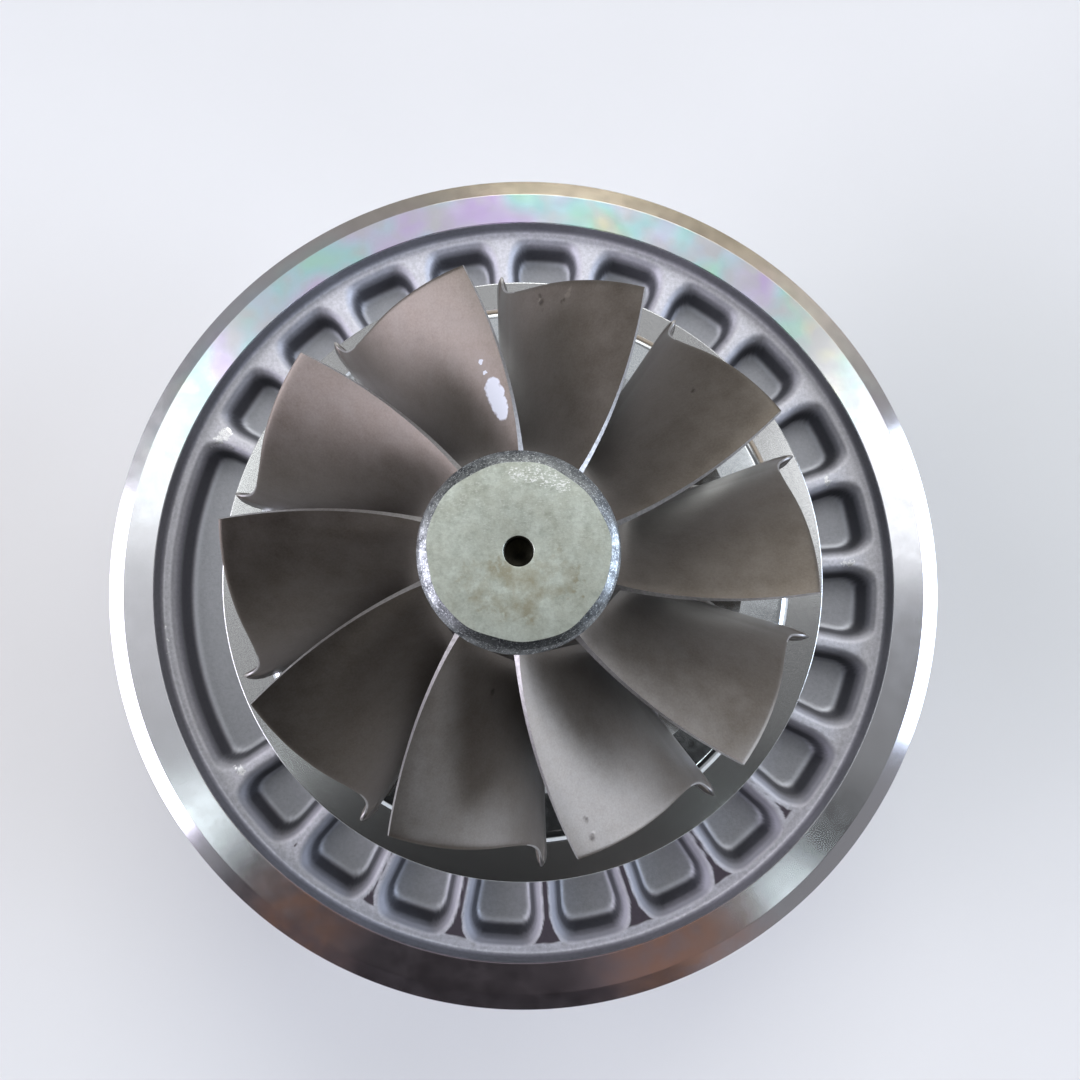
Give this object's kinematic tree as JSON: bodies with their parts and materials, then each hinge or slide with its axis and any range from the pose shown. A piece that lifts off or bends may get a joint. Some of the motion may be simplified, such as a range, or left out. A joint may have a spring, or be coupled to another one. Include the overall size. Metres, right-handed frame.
{
  "type": "turbocharger cartridge",
  "caption": "Turbocharger centre cartridge: bladed turbine wheel, heat shield, bearing housing, pocketed back plate with clamp rim, and a compressor wheel on one shaft.",
  "frame": {"origin": "on the rotor's axis, in the plane of the back plate's clamp rim face that seats on the compressor cover", "axes": "+Z along the rotor's axis from the compressor towards the turbine, +Y out of the oil inlet pad, -Y out of the oil drain pad"},
  "size_m": [0.22, 0.22, 0.1962],
  "materials": {
    "cast_aluminium": "as cast, machined at the rim",
    "machined_iron": "cast, with turned faces",
    "stainless_sheet": "bright pressed sheet",
    "nickel_alloy": "matte, as cast and blasted",
    "milled_aluminium": "satin",
    "bright_steel": "machined",
    "bearing_bronze": "machined",
    "seal_rubber": "matte"
  },
  "bodies": {
    "cartridge_body": {"back_plate": "cast_aluminium", "cover_o_ring": "seal_rubber", "bearing_housing": "machined_iron", "heat_shield": "stainless_sheet", "housing_bolt_1": "bright_steel", "housing_bolt_2": "bright_steel", "housing_bolt_3": "bright_steel", "housing_bolt_4": "bright_steel", "housing_bolt_5": "bright_steel", "housing_bolt_6": "bright_steel", "housing_bolt_7": "bright_steel", "housing_bolt_8": "bright_steel", "oil_seal_plate": "machined_iron", "retaining_ring": "bright_steel", "journal_bearing_compressor_end": "bearing_bronze", "journal_bearing_turbine_end": "bearing_bronze"},
    "rotor": {"turbine_wheel": "nickel_alloy", "compressor_wheel": "milled_aluminium", "rotor_shaft": "bright_steel", "thrust_sleeve": "bright_steel", "lock_nut": "bright_steel"}
  },
  "joints": [
    {"name": "rotor_spin", "type": "hinge", "parent": "cartridge_body", "child": "rotor", "pos_m": [0, 0, 0], "axis": [0, 0, 1], "continuous": true}
  ]
}
